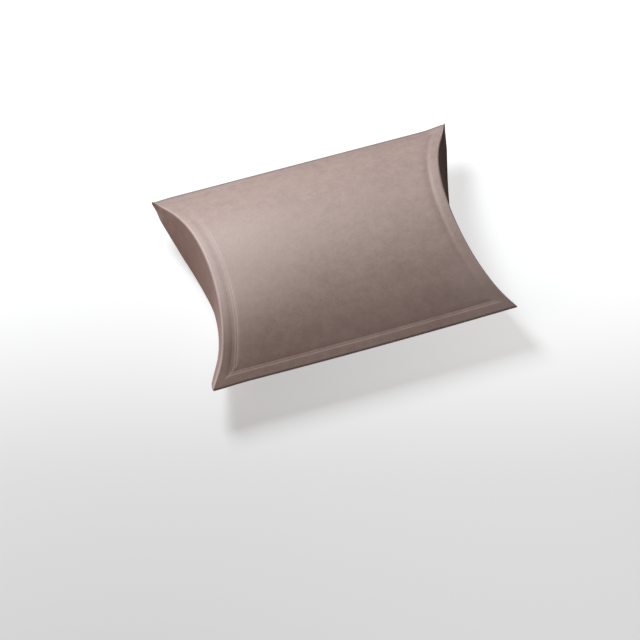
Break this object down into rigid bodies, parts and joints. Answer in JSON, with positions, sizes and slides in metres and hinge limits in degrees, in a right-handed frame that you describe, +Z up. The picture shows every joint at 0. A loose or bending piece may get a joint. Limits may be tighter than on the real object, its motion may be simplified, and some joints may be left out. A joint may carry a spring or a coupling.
{
  "type": "favor box",
  "caption": "Pillow-shaped favour box folded from matte board, with curved end creases and an outer flap over an inner flap closing each end.",
  "frame": {"origin": "centre of the flat strip under the bottom panel that the box rests on, under the middle of its bounding box", "axes": "+X along the box towards its right end, +Y across it from the front fold to the seam fold, +Z up from the rest face"},
  "size_m": [0.1, 0.08, 0.0199],
  "materials": {
    "board_face": "matte warm taupe board with a fine fibre grain",
    "board_flap": "matte warm taupe board with a fine fibre grain",
    "board_inside": "matte uncoated inside face of the same board",
    "dried_glue": "thin dried glue"
  },
  "bodies": {
    "box": {"top_panel": "board_face", "bottom_panel": "board_face", "glue_tab": "board_inside", "glue_line": "dried_glue"},
    "left_outer": {"left_outer_flap": "board_flap"},
    "left_inner": {"left_inner_flap": "board_flap"},
    "right_outer": {"right_outer_flap": "board_flap"},
    "right_inner": {"right_inner_flap": "board_flap"}
  },
  "joints": [
    {"name": "left_outer_crease", "type": "hinge", "parent": "box", "child": "left_outer", "pos_m": [-0.0394, 0, 0.01995], "axis": [0, 1, 0], "range_deg": [0, 120]},
    {"name": "left_inner_crease", "type": "hinge", "parent": "box", "child": "left_inner", "pos_m": [-0.0405, 0, 0], "axis": [0, -1, 0], "range_deg": [0, 72]},
    {"name": "right_outer_crease", "type": "hinge", "parent": "box", "child": "right_outer", "pos_m": [0.0394, 0, 0.01995], "axis": [0, -1, 0], "range_deg": [0, 120]},
    {"name": "right_inner_crease", "type": "hinge", "parent": "box", "child": "right_inner", "pos_m": [0.0405, 0, 0], "axis": [0, 1, 0], "range_deg": [0, 72]}
  ],
  "couplings": [
    {"joint": "left_inner_crease", "follows": "left_outer_crease", "ratio": 0.6},
    {"joint": "right_inner_crease", "follows": "right_outer_crease", "ratio": 0.6}
  ]
}
